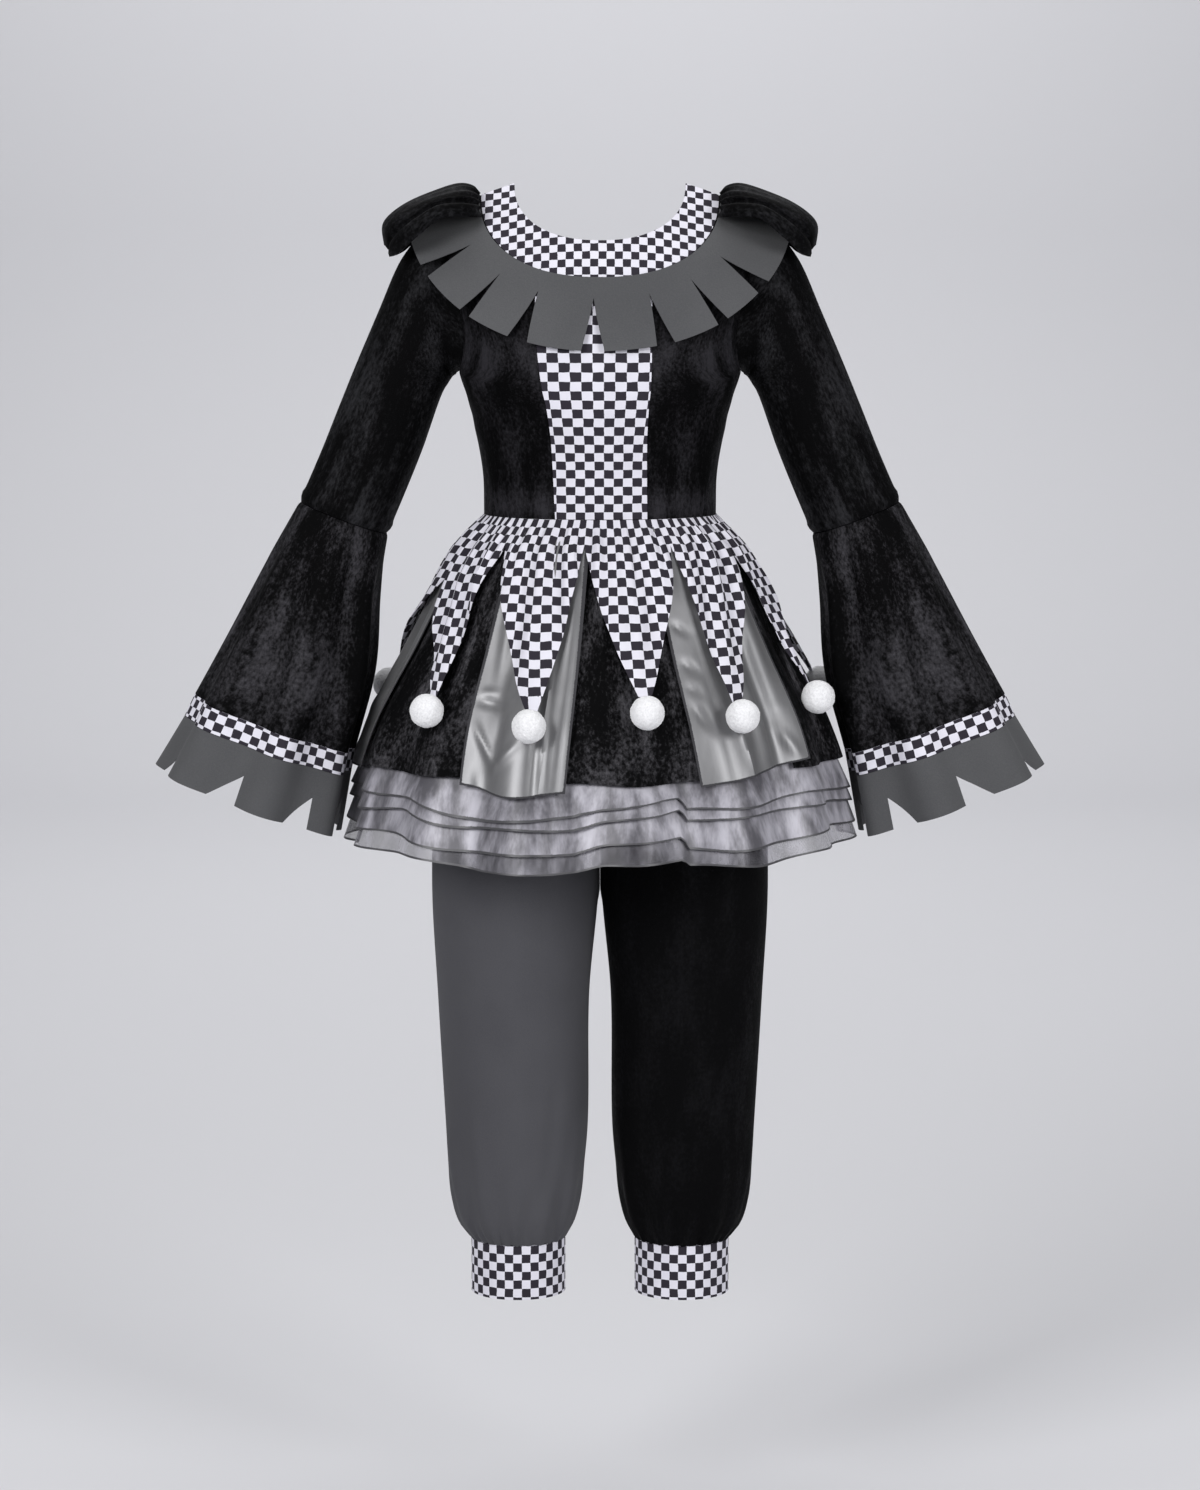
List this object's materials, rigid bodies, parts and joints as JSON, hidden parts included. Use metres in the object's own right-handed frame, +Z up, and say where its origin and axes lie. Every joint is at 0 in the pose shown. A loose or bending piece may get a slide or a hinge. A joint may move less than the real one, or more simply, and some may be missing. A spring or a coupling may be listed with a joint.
{
  "type": "jester costume",
  "caption": "Black, white and grey jester costume: chequered yoke, tabbed collar, bell sleeves, pointed peplum with pompoms, petal skirt and two-tone trousers.",
  "frame": {"origin": "midway between the two neck points of the shoulder line, where the wearer's shoulders hold the dress", "axes": "+Z up along the standing wearer, -Y out of the front, +X towards the wearer's left"},
  "size_m": [1.0722, 0.5213, 1.3378],
  "materials": {
    "black_velvet": "crushed velvet with a soft uneven sheen",
    "check_cotton": "matt knit printed with off-white and near-black squares",
    "grey_felt": "matt, cut edges",
    "grey_satin": "soft gloss satin",
    "grey_organza": "sheer with a fine gloss, overlocked hem",
    "grey_crepe": "matt",
    "black_crepe": "matt",
    "white_pompom": "fluffy yarn"
  },
  "bodies": {
    "root": {"yoke_front": "check_cotton", "yoke_back": "check_cotton", "front_panel": "check_cotton", "front_side_left": "black_velvet", "back_left": "black_velvet", "front_side_right": "black_velvet", "back_right": "black_velvet", "sleeve_left": "black_velvet", "bell_left": "black_velvet", "sleeve_band_left": "check_cotton", "sleeve_frill_left": "grey_felt", "sleeve_right": "black_velvet", "bell_right": "black_velvet", "sleeve_band_right": "check_cotton", "sleeve_frill_right": "grey_felt", "collar_front": "grey_felt", "collar_back": "grey_felt", "shoulder_puff_left": "black_velvet", "shoulder_puff_right": "black_velvet", "peplum_front": "check_cotton", "peplum_back": "check_cotton", "pompom_1": "white_pompom", "pompom_2": "white_pompom", "pompom_3": "white_pompom", "pompom_4": "white_pompom", "pompom_5": "white_pompom", "pompom_6": "white_pompom", "pompom_7": "white_pompom", "pompom_8": "white_pompom", "pompom_9": "white_pompom", "pompom_10": "white_pompom", "pompom_11": "white_pompom", "pompom_12": "white_pompom", "petal_satin_1": "grey_satin", "petal_satin_2": "grey_satin", "petal_satin_3": "grey_satin", "petal_satin_4": "grey_satin", "petal_satin_5": "grey_satin", "petal_satin_6": "grey_satin", "petal_velvet_1": "black_velvet", "petal_velvet_2": "black_velvet", "petal_velvet_3": "black_velvet", "petal_velvet_4": "black_velvet", "petal_velvet_5": "black_velvet", "petal_velvet_6": "black_velvet", "organza_1": "grey_organza", "organza_2": "grey_organza", "organza_3": "grey_organza", "organza_4": "grey_organza", "leg_right": "grey_crepe", "leg_left": "black_crepe", "trouser_waistband": "grey_crepe", "ankle_cuff_left": "check_cotton", "ankle_cuff_right": "check_cotton"}
  },
  "joints": []
}
